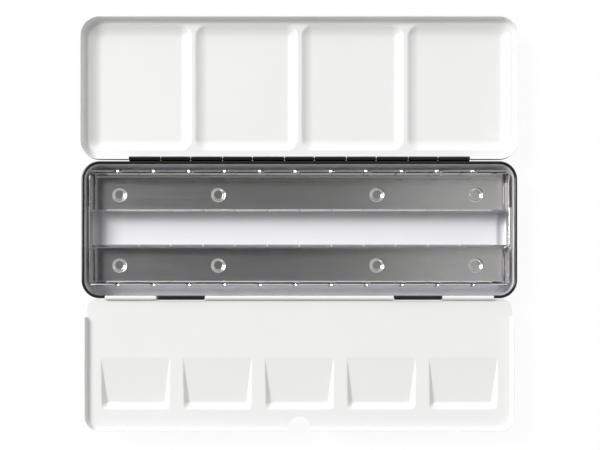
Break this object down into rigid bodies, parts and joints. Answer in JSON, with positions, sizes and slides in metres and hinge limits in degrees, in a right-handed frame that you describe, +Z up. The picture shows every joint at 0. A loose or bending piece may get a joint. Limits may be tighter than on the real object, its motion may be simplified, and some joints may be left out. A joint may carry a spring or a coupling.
{
  "type": "watercolor box",
  "caption": "Empty enamelled tin watercolor box with a mixing lid, a folding mixing flap, a lift-out rack for two rows of half pans and a thumb ring.",
  "frame": {"origin": "On the table, in the middle of the whole open box's footprint; the body's own middle is 3.25 mm towards the flap.", "axes": "+X along the box, +Y from the flap towards the lid, +Z up; lid and flap lie open"},
  "size_m": [0.2178, 0.206, 0.0165],
  "materials": {
    "black_enamel": "gloss black baked enamel",
    "white_enamel": "gloss white baked enamel",
    "tinplate": "bright tinplate",
    "steel_wire": "bright drawn steel"
  },
  "bodies": {
    "box": {"box_body": "black_enamel", "lid_hinge_body_leaf": "black_enamel", "lid_hinge_pin": "steel_wire", "flap_hinge_pin": "steel_wire", "rack_frame": "tinplate", "pan_channel_back": "tinplate", "pan_channel_front": "tinplate", "thumb_ring_strap": "steel_wire"},
    "lid": {"mixing_lid": "white_enamel", "lid_hinge_lid_leaf": "black_enamel"},
    "flap": {"mixing_flap": "white_enamel"},
    "ring": {"thumb_ring": "steel_wire"}
  },
  "joints": [
    {"name": "lid_hinge", "type": "hinge", "parent": "box", "child": "lid", "pos_m": [0, 0.0322, 0.0139], "axis": [1, 0, 0], "range_deg": [0, 180]},
    {"name": "flap_hinge", "type": "hinge", "parent": "box", "child": "flap", "pos_m": [0, -0.037, 0.0145], "axis": [-1, 0, 0], "range_deg": [0, 180]},
    {"name": "thumb_ring_hinge", "type": "hinge", "parent": "box", "child": "ring", "pos_m": [0, -0.00325, 0.00155], "axis": [1, 0, 0], "range_deg": [0, 180]}
  ]
}
